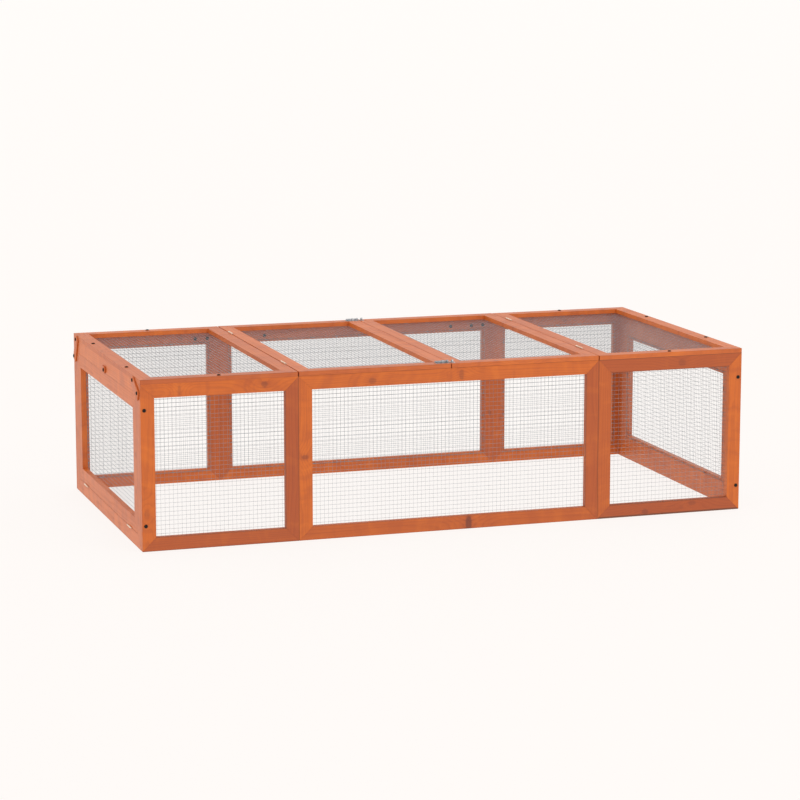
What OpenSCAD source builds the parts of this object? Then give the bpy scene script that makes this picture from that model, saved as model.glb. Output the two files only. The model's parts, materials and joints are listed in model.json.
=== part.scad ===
// Small animal hutch: a low mitred timber run with mesh panels, two roof lids and a drop-down end door.
// Origin at the middle of the footprint on the ground, +X along the length from the door, +Y to the back.

/* [Overall] */
// Length of the hutch, end to end
hutch_l = 1800; // [1600:10:2100]
// Width of the hutch, front to back
hutch_w = 900; // [700:10:1100]
// Height from the ground to the top of the fixed roof frames
hutch_h = 481; // [400:1:600]
// Length of each outer wall panel and of each fixed roof frame
side_panel_l = 450; // [380:5:520]

/* [Timber] */
// Width of the rails and stiles
rail_w = 39; // [36:1:45]
// Thickness of the wall, end and door frames
wall_t = 16; // [14:1:20]
// Thickness of the roof frames
roof_t = 13; // [12:1:18]
// Width of the boards of the right end frame
end_board_w = 76; // [50:1:100]

/* [Gaps] */
// Gap between neighbouring wall panels
seam_gap = 1; // [0.5:0.1:3]
// Gap beside a lid's hinges, which holds their leaves
lid_hinge_gap = 3; // [1.8:0.1:4]
// Gap under the end door, which holds its hinges' leaves
door_hinge_gap = 2; // [1.8:0.1:4]
// Gap between the two lids
lid_gap = 2; // [1.6:0.1:4]
// Height of the lids above the walls that they rest over
lid_lift = 0.4; // [0.3:0.1:1]
// Gap round the sides and top of the end door
door_gap = 1; // [0.9:0.1:4]

/* [Mesh] */
// Spacing of the bars of the coarse net
net_pitch = 85; // [85:1:140]
// Width of a bar of the net
net_bar_w = 3; // [2:0.5:5]
// Thickness of the net
net_t = 1.5; // [1:0.1:2]
// How far the net laps onto the frame round its opening
net_lap = 10; // [6:1:12]

/* [Hinges] */
// Length of a hinge
hinge_l = 48; // [40:1:80]
// Distance of each hinge's middle from the nearer side of the hutch
hinge_inset = 155; // [120:1:200]
// Outer radius of a knuckle
knuckle_r = 2.1; // [2:0.1:3]
// Radius of a hinge pin
hinge_pin_r = 1; // [0.8:0.1:1.2]
// Thickness of a hinge leaf
leaf_t = 0.7; // [0.5:0.1:0.7]
// How far a leaf stops short of the far face of its frame
leaf_margin = 2; // [1:0.5:4]
// Gap between knuckles, and between a leaf and the other leaf's knuckle
knuckle_gap = 0.4; // [0.3:0.1:0.8]

/* [Barrel bolts] */
// Radius of the sliding rod
bolt_rod_r = 2.5; // [2:0.1:3]
// Travel of the rod
bolt_travel = 14; // [10:1:14]
// Length of the bolt's base plate
bolt_plate_l = 40; // [40:1:50]
// Width of the base plate and of the keeper plate
bolt_plate_w = 22; // [22:1:28]
// Thickness of the base plate and of the keeper plate
bolt_plate_t = 1.2; // [1:0.1:2]
// Length of each strap that holds the rod
strap_l = 5; // [4:0.5:6]
// Gap between the two straps
strap_space = 10; // [8:0.5:12]
// Wall of a strap round the rod
strap_wall = 1.4; // [1:0.1:2]
// Length of the keeper
keeper_l = 12; // [10:1:16]
// Radius of the finger knob on the rod
knob_r = 1.6; // [1.2:0.1:2]
// Gap between the knob and the strap when the bolt is shot
knob_gap = 0.5; // [0.4:0.1:1]
// Reach of the finger knob from the rod's axis
knob_l = 9; // [7:0.5:12]

/* [Turn button and corner plates] */
// Thickness of the turn button and the corner plates
plate_t = 4.5; // [3:0.5:8]
// Width of the turn button
button_w = 20; // [16:1:24]
// Length of the turn button
button_l = 44; // [36:1:60]
// Length of a corner plate
corner_plate_l = 84; // [78:1:100]
// Width of a corner plate
corner_plate_w = 31; // [28:1:32]
// Corner radius of a corner plate
corner_plate_r = 9; // [5:1:10]
// Distance between the two screws of a corner plate
corner_screw_space = 62; // [50:1:66]
// Distance of a corner plate's screws from its upper edge
corner_edge_in = 10; // [8:1:11]
// Distance of a corner plate's lower screw from the side of the hutch
corner_lower_in = 21; // [21:1:24]
// Drop of a corner plate's upper screw below the top
corner_upper_drop = 11.5; // [9:0.5:12]
// Slope of the front corner plate in degrees
corner_front_slope = 27; // [20:1:30]
// Slope of the back corner plate in degrees
corner_back_slope = 62; // [55:1:66]

/* [Screws] */
// Radius of the heads of the large screws
head_r = 5.2; // [3:0.1:5.4]
// Height of the heads of the large screws
head_h = 1.9; // [1:0.1:2]
// Radius of the shanks of the large screws
shank_r = 1.8; // [1.4:0.1:2]
// Radius of the heads of the small bolt screws
small_head_r = 1.9; // [1.5:0.1:2]
// Height of the heads of the small bolt screws
small_head_h = 0.8; // [0.6:0.1:1]
// Radius of the shanks of the small bolt screws
small_shank_r = 1; // [0.8:0.1:1.2]
// How far the roof screws reach into the wall below
roof_screw_bite = 18; // [12:1:30]
// How far the wall screws reach past the wall into the end frame
wall_screw_bite = 25; // [15:1:35]
// How far the screws that hold plates stop short of the far face of the timber
screw_margin = 4; // [2:0.5:6]
// Distance of the end roof screws from the middle of the width
roof_screw_y = 225; // [150:5:260]
// Distance of the roof screws from the inner face of the wall below
roof_screw_cover = 3; // [2:0.5:6]
// Distance of the wall screws from the end of the hutch
wall_screw_in = 10.5; // [7:0.5:11.5]
// Distance of the wall screws from the ground and from the top of the wall
wall_screw_z = 72; // [60:1:90]
// Length of joining plates across the wall seams
joining_plate_l = 180; // [170:1:200]
// Height of the joining plates
joining_plate_h = 15; // [11:1:16]
// Thickness of the joining plates
joining_plate_t = 2; // [1:0.5:3]
// Gap between the joining plates and the net below them
joining_gap = 1; // [0.5:0.5:2]
// Distance from a seam to the nearer screws of its joining plate
joint_screw_near = 38; // [25:1:50]
// Distance from a seam to the farther screws of its joining plate
joint_screw_far = 76; // [65:1:78]
// Distance from a seam to the lone screw on the middle panel's top rail
lone_screw_in = 145; // [110:1:180]

/* [Hidden] */
$fn = 48;

wood = [0.82, 0.46, 0.28];
brown_paint = [0.73, 0.39, 0.24];
wire_grey = [0.62, 0.65, 0.68];
zinc = [0.78, 0.78, 0.80];
dark = [0.12, 0.11, 0.11];

// Clearances of fits: a turning or sliding fit, a screw in its pilot hole, and a loose hole
running_fit = 0.05;
pilot_fit = 0.05;
loose_fit = 0.4;

// How far a cut runs past the faces that it opens
cut_over = 1;

// Frame sizes that follow
wall_h = hutch_h - roof_t;
x_end = hutch_l / 2;
y_side = hutch_w / 2;
x_seam = x_end - side_panel_l;
middle_l = 2 * x_seam - seam_gap;
outer_l = side_panel_l - seam_gap / 2;
end_l = hutch_w - 2 * wall_t;
fixed_roof_l = side_panel_l - lid_hinge_gap / 2;
lid_l = x_seam - lid_hinge_gap / 2 - lid_gap / 2;
lid_z = wall_h + lid_lift;
lid_top = lid_z + roof_t;
door_l = end_l - 2 * rail_w - 2 * door_gap;
door_z = rail_w + door_hinge_gap;
door_h = wall_h - rail_w - door_gap - door_z;

// Hinge geometry: the axis stands clear of the frame edges that turn past it
knuckle_clear = knuckle_r + knuckle_gap;
axis_spare = 0.05;
function axis_rise(gap) = sqrt(pow(knuckle_clear, 2) - pow(gap / 2, 2)) + axis_spare;
knuckle_l = (hinge_l - 2 * knuckle_gap) / 3;
hinge_y = y_side - hinge_inset;
lid_axis_z = lid_top + axis_rise(lid_hinge_gap);
door_axis_x = -x_end - axis_rise(door_hinge_gap);
door_axis_z = rail_w + door_hinge_gap / 2;

// Barrel bolt places, counted from the seam between the lids
bolt_y = y_side - rail_w / 2;
plate_inset = 1.5;
tail_past_knob = 0.4;
bolt_edge = lid_gap / 2 + plate_inset;
strap_near = -bolt_edge - plate_inset - strap_l;
strap_far = strap_near - strap_space - strap_l;
knob_x = strap_far - knob_gap - knob_r - bolt_travel;
rod_tail = knob_x - knob_r - tail_past_knob;
rod_tip = -bolt_edge;
rod_z = bolt_plate_t + loose_fit + max(bolt_rod_r, small_head_h + knob_r);
bolt_screw_y = (bolt_rod_r + strap_wall + bolt_plate_w / 2) / 2;
bolt_screw_in = 3.5;
small_screw_l = roof_t - screw_margin;

// Turn button on the left end: level and clear of the door at rest, it turns down over the door's top edge
button_gap = 0.4;
head_gap = 0.3;
button_z = door_z + door_h + door_gap + button_w / 2;
corner_upper_z = hutch_h - corner_upper_drop;

// Screw places and lengths
roof_screw_in = wall_t - roof_screw_cover;
roof_screw_x = x_end - side_panel_l / 2;
roof_screw_l = roof_t + roof_screw_bite;
wall_screw_l = wall_t + wall_screw_bite;
short_screw_l = wall_t - screw_margin;
pilot_end = 0.5;
plate_screw_x = [-joint_screw_far, -joint_screw_near, joint_screw_near, joint_screw_far];
joining_z = wall_h - rail_w + net_lap + joining_gap + joining_plate_h / 2;

// The two rails of a mitred frame, l long and h high
module rails_2d(l, h, w) {
  polygon([[0, 0], [l, 0], [l - w, w], [w, w]]);
  polygon([[0, h], [w, h - w], [l - w, h - w], [l, h]]);
}

// The two stiles of the same frame
module stiles_2d(l, h, w) {
  polygon([[0, 0], [w, w], [w, h - w], [0, h]]);
  polygon([[l, 0], [l, h], [l - w, h - w], [l - w, w]]);
}

// The net over the frame's opening: a sheet with one square gap for each cell
module net_2d(l, h, w) {
  open_l = l - 2 * w;
  open_h = h - 2 * w;
  across = max(1, round(open_l / net_pitch));
  up = max(1, round(open_h / net_pitch));
  cell_l = open_l / across;
  cell_h = open_h / up;
  difference() {
    translate([w - net_lap, w - net_lap]) square([open_l + 2 * net_lap, open_h + 2 * net_lap]);
    for (i = [0 : across - 1], j = [0 : up - 1])
      translate([w + i * cell_l + net_bar_w / 2, w + j * cell_h + net_bar_w / 2])
        square([cell_l - net_bar_w, cell_h - net_bar_w]);
  }
}

// Lays a drawing on the front wall's plane: drawing up is up, thickness runs inwards from depth y
module on_front(x, z, y, t) {
  translate([x, y + t, z]) rotate([90, 0, 0]) linear_extrude(t) children();
}

// Lays a drawing on an end wall's plane, from x towards +X
module on_end(x, y, z, t) {
  translate([x, y, z]) rotate([90, 0, 90]) linear_extrude(t) children();
}

// Lays a drawing flat, from z upwards
module on_roof(x, z, t) {
  translate([x, -y_side, z]) linear_extrude(t) children();
}

module screw(length, r = head_r, h = head_h, shank = shank_r) {
  cylinder(h = h, r = r);
  translate([0, 0, -length]) cylinder(h = length + h / 2, r = shank);
}

module pilot(length, shank = shank_r) {
  translate([0, 0, -length - pilot_end]) cylinder(h = length + pilot_end + cut_over, r = shank + pilot_fit);
}

// Screw groups: children are placed with +Z pointing out of the timber
module at_roof_screws() {
  for (sx = [-1, 1], sy = [-1, 1]) {
    translate([sx * (x_end - roof_screw_in), sy * roof_screw_y, hutch_h]) children();
    translate([sx * roof_screw_x, sy * (y_side - roof_screw_in), hutch_h]) children();
  }
}

module at_wall_screws() {
  for (sx = [-1, 1], sy = [-1, 1], z = [wall_screw_z, wall_h - wall_screw_z])
    translate([sx * (x_end - wall_screw_in), sy * y_side, z]) rotate([-90 * sy, 0, 0]) children();
}

module at_plate_screws(proud) {
  for (sx = [-1, 1], sy = [-1, 1], x = plate_screw_x)
    translate([sx * x_seam + x, sy * (y_side - wall_t - proud), joining_z])
      rotate([90 * sy, 0, 0]) children();
}

module at_lone_screws() {
  for (sx = [-1, 1], sy = [-1, 1])
    translate([sx * (x_seam - lone_screw_in), sy * (y_side - wall_t), joining_z])
      rotate([90 * sy, 0, 0]) children();
}

// The two corner plates: children are drawn from the upper screw along +X to the lower screw
module at_corner_plates(proud) {
  for (side = [-1, 1]) {
    slope = side < 0 ? corner_front_slope : corner_back_slope;
    run = corner_screw_space * cos(slope);
    y = side * (y_side - corner_lower_in - run);
    translate([-x_end - proud, y, corner_upper_z])
      rotate([90, 0, -90])
        mirror([side < 0 ? 0 : 1, 0, 0])
          rotate([0, 0, -slope]) children();
  }
}

module at_corner_screws(proud) {
  at_corner_plates(proud) children();
  at_corner_plates(proud) translate([corner_screw_space, 0, 0]) children();
}

module at_button_screw(proud) {
  translate([-x_end - proud, 0, button_z]) rotate([0, -90, 0]) children();
}

// Wall frames, drawn for the front and mirrored for the back
module wall_rails(x, l) {
  color(wood) difference() {
    on_front(x, 0, -y_side, wall_t) rails_2d(l, wall_h, rail_w);
    at_roof_screws() pilot(roof_screw_l);
    at_plate_screws(0) pilot(short_screw_l);
    at_lone_screws() pilot(short_screw_l);
  }
}

module wall_stiles(x, l) {
  color(wood) difference() {
    on_front(x, 0, -y_side, wall_t) stiles_2d(l, wall_h, rail_w);
    at_wall_screws() pilot(wall_screw_l);
  }
}

module wall_mesh(x, l) {
  color(wire_grey) on_front(x, 0, -y_side + wall_t, net_t) net_2d(l, wall_h, rail_w);
}

module front_left_rails() { wall_rails(-x_end, outer_l); }
module front_left_stiles() { wall_stiles(-x_end, outer_l); }
module front_left_mesh() { wall_mesh(-x_end, outer_l); }
module front_middle_rails() { wall_rails(-x_seam + seam_gap / 2, middle_l); }
module front_middle_stiles() { wall_stiles(-x_seam + seam_gap / 2, middle_l); }
module front_middle_mesh() { wall_mesh(-x_seam + seam_gap / 2, middle_l); }
module front_right_rails() { wall_rails(x_seam + seam_gap / 2, outer_l); }
module front_right_stiles() { wall_stiles(x_seam + seam_gap / 2, outer_l); }
module front_right_mesh() { wall_mesh(x_seam + seam_gap / 2, outer_l); }

module back_left_rails() { mirror([0, 1, 0]) front_left_rails(); }
module back_left_stiles() { mirror([0, 1, 0]) front_left_stiles(); }
module back_left_mesh() { mirror([0, 1, 0]) front_left_mesh(); }
module back_middle_rails() { mirror([0, 1, 0]) front_middle_rails(); }
module back_middle_stiles() { mirror([0, 1, 0]) front_middle_stiles(); }
module back_middle_mesh() { mirror([0, 1, 0]) front_middle_mesh(); }
module back_right_rails() { mirror([0, 1, 0]) front_right_rails(); }
module back_right_stiles() { mirror([0, 1, 0]) front_right_stiles(); }
module back_right_mesh() { mirror([0, 1, 0]) front_right_mesh(); }

// End frames stand between the front and the back wall
module left_end_rails() {
  color(wood) difference() {
    on_end(-x_end, -end_l / 2, 0, wall_t) rails_2d(end_l, wall_h, rail_w);
    at_roof_screws() pilot(roof_screw_l);
    at_corner_screws(0) pilot(short_screw_l);
    at_button_screw(0) pilot(short_screw_l);
  }
}

module left_end_stiles() {
  color(wood) difference() {
    on_end(-x_end, -end_l / 2, 0, wall_t) stiles_2d(end_l, wall_h, rail_w);
    at_wall_screws() pilot(wall_screw_l);
    at_corner_screws(0) pilot(short_screw_l);
  }
}

module right_end_rails() {
  color(wood) difference() {
    on_end(x_end - wall_t, -end_l / 2, 0, wall_t) rails_2d(end_l, wall_h, end_board_w);
    at_roof_screws() pilot(roof_screw_l);
  }
}

module right_end_stiles() {
  color(wood) difference() {
    on_end(x_end - wall_t, -end_l / 2, 0, wall_t) stiles_2d(end_l, wall_h, end_board_w);
    at_wall_screws() pilot(wall_screw_l);
  }
}

module right_end_mesh() {
  color(wire_grey) on_end(x_end - wall_t - net_t, -end_l / 2, 0, net_t) net_2d(end_l, wall_h, end_board_w);
}

// Roof frames lie across the walls; the nets are under them
module roof_rails(x, l) {
  color(wood) difference() {
    on_roof(x, wall_h, roof_t) rails_2d(l, hutch_w, rail_w);
    at_roof_screws() pilot(roof_screw_l);
  }
}

module roof_stiles(x, l) {
  color(wood) difference() {
    on_roof(x, wall_h, roof_t) stiles_2d(l, hutch_w, rail_w);
    at_roof_screws() pilot(roof_screw_l);
    at_corner_screws(0) pilot(short_screw_l);
  }
}

module roof_mesh(x, l, z) {
  color(wire_grey) on_roof(x, z - net_t, net_t) net_2d(l, hutch_w, rail_w);
}

module roof_left_rails() { roof_rails(-x_end, fixed_roof_l); }
module roof_left_stiles() { roof_stiles(-x_end, fixed_roof_l); }
module roof_left_mesh() { roof_mesh(-x_end, fixed_roof_l, wall_h); }
module roof_right_rails() { roof_rails(x_end - fixed_roof_l, fixed_roof_l); }
module roof_right_stiles() { roof_stiles(x_end - fixed_roof_l, fixed_roof_l); }
module roof_right_mesh() { roof_mesh(x_end - fixed_roof_l, fixed_roof_l, wall_h); }

// Lids: plain frames of the same stock, with pilot holes for the bolts' screws
module lid_rails(x) {
  color(wood) difference() {
    on_roof(x, lid_z, roof_t) rails_2d(lid_l, hutch_w, rail_w);
    at_bolts() at_barrel_screws() pilot(small_screw_l, small_shank_r);
    at_bolts() at_keeper_screws() pilot(small_screw_l, small_shank_r);
  }
}

module lid_stiles(x) {
  color(wood) difference() {
    on_roof(x, lid_z, roof_t) stiles_2d(lid_l, hutch_w, rail_w);
    at_bolts() at_barrel_screws() pilot(small_screw_l, small_shank_r);
    at_bolts() at_keeper_screws() pilot(small_screw_l, small_shank_r);
  }
}

module left_lid_rails() { lid_rails(-lid_gap / 2 - lid_l); }
module left_lid_stiles() { lid_stiles(-lid_gap / 2 - lid_l); }
module left_lid_mesh() { roof_mesh(-lid_gap / 2 - lid_l, lid_l, lid_z); }
module right_lid_rails() { lid_rails(lid_gap / 2); }
module right_lid_stiles() { lid_stiles(lid_gap / 2); }
module right_lid_mesh() { roof_mesh(lid_gap / 2, lid_l, lid_z); }

// End door, inside the left end frame
module door_rails() {
  color(wood) on_end(-x_end, -door_l / 2, door_z, wall_t) rails_2d(door_l, door_h, rail_w);
}

module door_stiles() {
  color(wood) on_end(-x_end, -door_l / 2, door_z, wall_t) stiles_2d(door_l, door_h, rail_w);
}

module door_mesh() {
  color(wire_grey) on_end(-x_end + wall_t, -door_l / 2, door_z, net_t) net_2d(door_l, door_h, rail_w);
}

// Butt hinge about its own Y axis: leaves hang down, the base on -X and the moving leaf on +X
module knuckle(y, l) {
  translate([0, y + l, 0]) rotate([90, 0, 0]) cylinder(h = l, r = knuckle_r);
}

module pin_bore() {
  translate([0, hinge_l / 2 + cut_over, 0]) rotate([90, 0, 0])
    cylinder(h = hinge_l + 2 * cut_over, r = hinge_pin_r + running_fit);
}

module leaf_plate(y, l, top, gap) {
  reach = axis_rise(gap) + roof_t - leaf_margin;
  translate([gap / 2 - leaf_t, y, -reach]) cube([leaf_t, l, reach + top]);
}

module hinge_leaf(gap) {
  color(zinc) difference() {
    union() {
      leaf_plate(-hinge_l / 2, hinge_l, -knuckle_clear, gap);
      leaf_plate(-knuckle_l / 2, knuckle_l, 0, gap);
      knuckle(-knuckle_l / 2, knuckle_l);
    }
    pin_bore();
  }
}

module hinge_base(gap) {
  color(zinc) mirror([1, 0, 0]) difference() {
    union() {
      leaf_plate(-hinge_l / 2, hinge_l, -knuckle_clear, gap);
      for (y = [-hinge_l / 2, hinge_l / 2 - knuckle_l]) {
        leaf_plate(y, knuckle_l, 0, gap);
        knuckle(y, knuckle_l);
      }
    }
    pin_bore();
  }
}

module hinge_pin() {
  color(zinc) translate([0, hinge_l / 2, 0]) rotate([90, 0, 0]) cylinder(h = hinge_l, r = hinge_pin_r);
}

module at_left_lid_hinges() {
  for (y = [-hinge_y, hinge_y]) translate([-x_seam, y, lid_axis_z]) children();
}

module at_right_lid_hinges() {
  mirror([1, 0, 0]) at_left_lid_hinges() children();
}

module at_door_hinges() {
  for (y = [-hinge_y, hinge_y]) translate([door_axis_x, y, door_axis_z]) rotate([0, -90, 0]) children();
}

module left_lid_hinge_base() { at_left_lid_hinges() hinge_base(lid_hinge_gap); }
module left_lid_hinge_leaf() { at_left_lid_hinges() hinge_leaf(lid_hinge_gap); }
module left_lid_hinge_pin() { at_left_lid_hinges() hinge_pin(); }
module right_lid_hinge_base() { at_right_lid_hinges() hinge_base(lid_hinge_gap); }
module right_lid_hinge_leaf() { at_right_lid_hinges() hinge_leaf(lid_hinge_gap); }
module right_lid_hinge_pin() { at_right_lid_hinges() hinge_pin(); }
module door_hinge_base() { at_door_hinges() hinge_base(door_hinge_gap); }
module door_hinge_leaf() { at_door_hinges() hinge_leaf(door_hinge_gap); }
module door_hinge_pin() { at_door_hinges() hinge_pin(); }

// Barrel bolts: the front one as drawn, the back one mirrored, with knobs towards the middle
module at_front_bolt() {
  translate([0, -bolt_y, lid_top]) children();
}

module at_bolts() {
  at_front_bolt() children();
  mirror([0, 1, 0]) at_front_bolt() children();
}

module at_barrel_screws() {
  for (x = [-bolt_edge - bolt_plate_l + bolt_screw_in, -bolt_edge - bolt_screw_in], sy = [-1, 1])
    translate([x, sy * bolt_screw_y, 0]) children();
}

module at_keeper_screws() {
  for (sy = [-1, 1]) translate([bolt_edge + keeper_l / 2, sy * bolt_screw_y, 0]) children();
}

// A strap over the rod from x, with a bore of radius r
module strap(x, l, r) {
  outer = bolt_rod_r + strap_wall;
  difference() {
    union() {
      translate([x, 0, rod_z]) rotate([0, 90, 0]) cylinder(h = l, r = outer);
      translate([x, -outer, bolt_plate_t / 2]) cube([l, 2 * outer, rod_z - bolt_plate_t / 2]);
    }
    translate([x - cut_over, 0, rod_z]) rotate([0, 90, 0]) cylinder(h = l + 2 * cut_over, r = r);
  }
}

module small_holes() {
  cylinder(h = 4 * bolt_plate_t, r = small_shank_r + pilot_fit, center = true);
}

module bolt_barrels() {
  color(zinc) at_bolts() {
    difference() {
      translate([-bolt_edge - bolt_plate_l, -bolt_plate_w / 2, 0])
        cube([bolt_plate_l, bolt_plate_w, bolt_plate_t]);
      at_barrel_screws() small_holes();
    }
    strap(strap_near, strap_l, bolt_rod_r + running_fit);
    strap(strap_far, strap_l, bolt_rod_r + running_fit);
  }
}

module bolt_keepers() {
  color(zinc) at_bolts() {
    difference() {
      translate([bolt_edge, -bolt_plate_w / 2, 0]) cube([keeper_l, bolt_plate_w, bolt_plate_t]);
      at_keeper_screws() small_holes();
    }
    strap(bolt_edge + (keeper_l - strap_l) / 2, strap_l, bolt_rod_r + loose_fit);
  }
}

module bolt_rod() {
  color(zinc) {
    translate([rod_tail, 0, rod_z]) rotate([0, 90, 0]) cylinder(h = rod_tip - rod_tail, r = bolt_rod_r);
    translate([knob_x, 0, rod_z]) rotate([-90, 0, 0]) cylinder(h = knob_l, r = knob_r);
  }
}

module bolt_rod_front() { at_front_bolt() bolt_rod(); }
module bolt_rod_back() { mirror([0, 1, 0]) bolt_rod_front(); }

module small_screw() {
  translate([0, 0, bolt_plate_t])
    screw(small_screw_l + bolt_plate_t, small_head_r, small_head_h, small_shank_r);
}

module bolt_screws() { color(dark) at_bolts() at_barrel_screws() small_screw(); }
module keeper_screws() { color(dark) at_bolts() at_keeper_screws() small_screw(); }

// Turn button: round-ended, drawn along +Y from its pivot, level at rest
module turn_button() {
  r = button_w / 2;
  reach = button_l - 2 * r;
  color(wood) translate([-x_end - button_gap, 0, button_z]) rotate([0, -90, 0]) difference() {
    union() {
      cylinder(h = plate_t, r = r);
      translate([0, reach, 0]) cylinder(h = plate_t, r = r);
      translate([-r, 0, 0]) cube([2 * r, reach, plate_t]);
    }
    translate([0, 0, -cut_over]) cylinder(h = plate_t + 2 * cut_over, r = shank_r + running_fit);
  }
}

module turn_button_screw() {
  proud = button_gap + plate_t + head_gap;
  color(dark) at_button_screw(proud) screw(proud + short_screw_l);
}

// Corner plates: rounded boards whose two screws sit near their upper edge
module corner_plate_2d() {
  along = (corner_plate_l - corner_screw_space) / 2;
  translate([-along, corner_edge_in - corner_plate_w]) {
    r = corner_plate_r;
    translate([r, 0]) square([corner_plate_l - 2 * r, corner_plate_w]);
    translate([0, r]) square([corner_plate_l, corner_plate_w - 2 * r]);
    for (x = [r, corner_plate_l - r], y = [r, corner_plate_w - r]) translate([x, y]) circle(r = r);
  }
}

module corner_plates() {
  color(wood) difference() {
    at_corner_plates(0) linear_extrude(plate_t) corner_plate_2d();
    at_corner_screws(plate_t) pilot(plate_t);
  }
}

module corner_screws() { color(dark) at_corner_screws(plate_t) screw(plate_t + short_screw_l); }

// Painted steel plates that join the wall panels inside the top rails
module joining_plates() {
  color(brown_paint) difference() {
    for (sx = [-1, 1], sy = [-1, 1])
      translate([sx * x_seam, sy * (y_side - wall_t - joining_plate_t / 2), joining_z])
        cube([joining_plate_l, joining_plate_t, joining_plate_h], center = true);
    at_plate_screws(joining_plate_t) pilot(joining_plate_t);
  }
}

module inner_screws() {
  color(dark) {
    at_plate_screws(joining_plate_t) screw(joining_plate_t + short_screw_l);
    at_lone_screws() screw(short_screw_l);
  }
}

module outer_screws() {
  color(dark) {
    at_roof_screws() screw(roof_screw_l);
    at_wall_screws() screw(wall_screw_l);
  }
}

front_left_rails();
front_left_stiles();
front_left_mesh();
front_middle_rails();
front_middle_stiles();
front_middle_mesh();
front_right_rails();
front_right_stiles();
front_right_mesh();
back_left_rails();
back_left_stiles();
back_left_mesh();
back_middle_rails();
back_middle_stiles();
back_middle_mesh();
back_right_rails();
back_right_stiles();
back_right_mesh();
left_end_rails();
left_end_stiles();
right_end_rails();
right_end_stiles();
right_end_mesh();
roof_left_rails();
roof_left_stiles();
roof_left_mesh();
roof_right_rails();
roof_right_stiles();
roof_right_mesh();
left_lid_rails();
left_lid_stiles();
left_lid_mesh();
right_lid_rails();
right_lid_stiles();
right_lid_mesh();
door_rails();
door_stiles();
door_mesh();
left_lid_hinge_base();
left_lid_hinge_leaf();
left_lid_hinge_pin();
right_lid_hinge_base();
right_lid_hinge_leaf();
right_lid_hinge_pin();
door_hinge_base();
door_hinge_leaf();
door_hinge_pin();
bolt_barrels();
bolt_screws();
bolt_rod_front();
bolt_rod_back();
bolt_keepers();
keeper_screws();
turn_button();
turn_button_screw();
corner_plates();
corner_screws();
joining_plates();
inner_screws();
outer_screws();
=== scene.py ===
import json
import math
import bpy
import numpy as np
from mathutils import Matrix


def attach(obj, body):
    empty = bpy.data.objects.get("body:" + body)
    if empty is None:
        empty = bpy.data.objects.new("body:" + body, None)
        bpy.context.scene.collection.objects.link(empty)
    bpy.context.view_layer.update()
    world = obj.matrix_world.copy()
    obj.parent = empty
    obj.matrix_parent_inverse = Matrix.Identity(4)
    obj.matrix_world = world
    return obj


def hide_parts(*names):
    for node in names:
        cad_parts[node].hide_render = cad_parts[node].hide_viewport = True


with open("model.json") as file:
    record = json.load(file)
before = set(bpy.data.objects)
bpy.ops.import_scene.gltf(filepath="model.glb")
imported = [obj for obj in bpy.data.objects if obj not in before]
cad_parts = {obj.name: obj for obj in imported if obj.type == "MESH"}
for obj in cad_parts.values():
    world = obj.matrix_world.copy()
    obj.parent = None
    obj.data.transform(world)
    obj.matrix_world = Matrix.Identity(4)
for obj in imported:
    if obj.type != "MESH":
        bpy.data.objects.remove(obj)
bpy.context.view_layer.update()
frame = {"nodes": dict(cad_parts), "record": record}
rng = np.random.default_rng(41)
mm = 0.001

# Sizes of the hutch, in millimetres, as in the part's source
hutch = {
    "length": 1800, "width": 900, "height": 481,
    "sidePanel": 450, "rail": 39, "endBoard": 76,
    "wallThick": 16, "roofThick": 13,
    "lidHingeGap": 3, "doorHingeGap": 2, "lidGap": 2, "lidLift": 0.4, "doorGap": 1,
}
endX = hutch["length"] / 2
sideY = hutch["width"] / 2
wallTop = hutch["height"] - hutch["roofThick"]
seamX = endX - hutch["sidePanel"]
lidTop = hutch["height"] + hutch["lidLift"]
sides = (-1, 1)


# Shader building: a Link wraps one socket, and its operators add Math nodes
class Link:
    def __init__(self, maker, socket):
        self.maker, self.socket = maker, socket

    def __add__(self, other):
        return self.maker.calc("ADD", self, other)

    def __sub__(self, other):
        return self.maker.calc("SUBTRACT", self, other)

    def __rsub__(self, other):
        return self.maker.calc("SUBTRACT", other, self)

    def __mul__(self, other):
        return self.maker.calc("MULTIPLY", self, other)

    def __truediv__(self, other):
        return self.maker.calc("DIVIDE", self, other)

    __radd__ = __add__
    __rmul__ = __mul__


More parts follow.
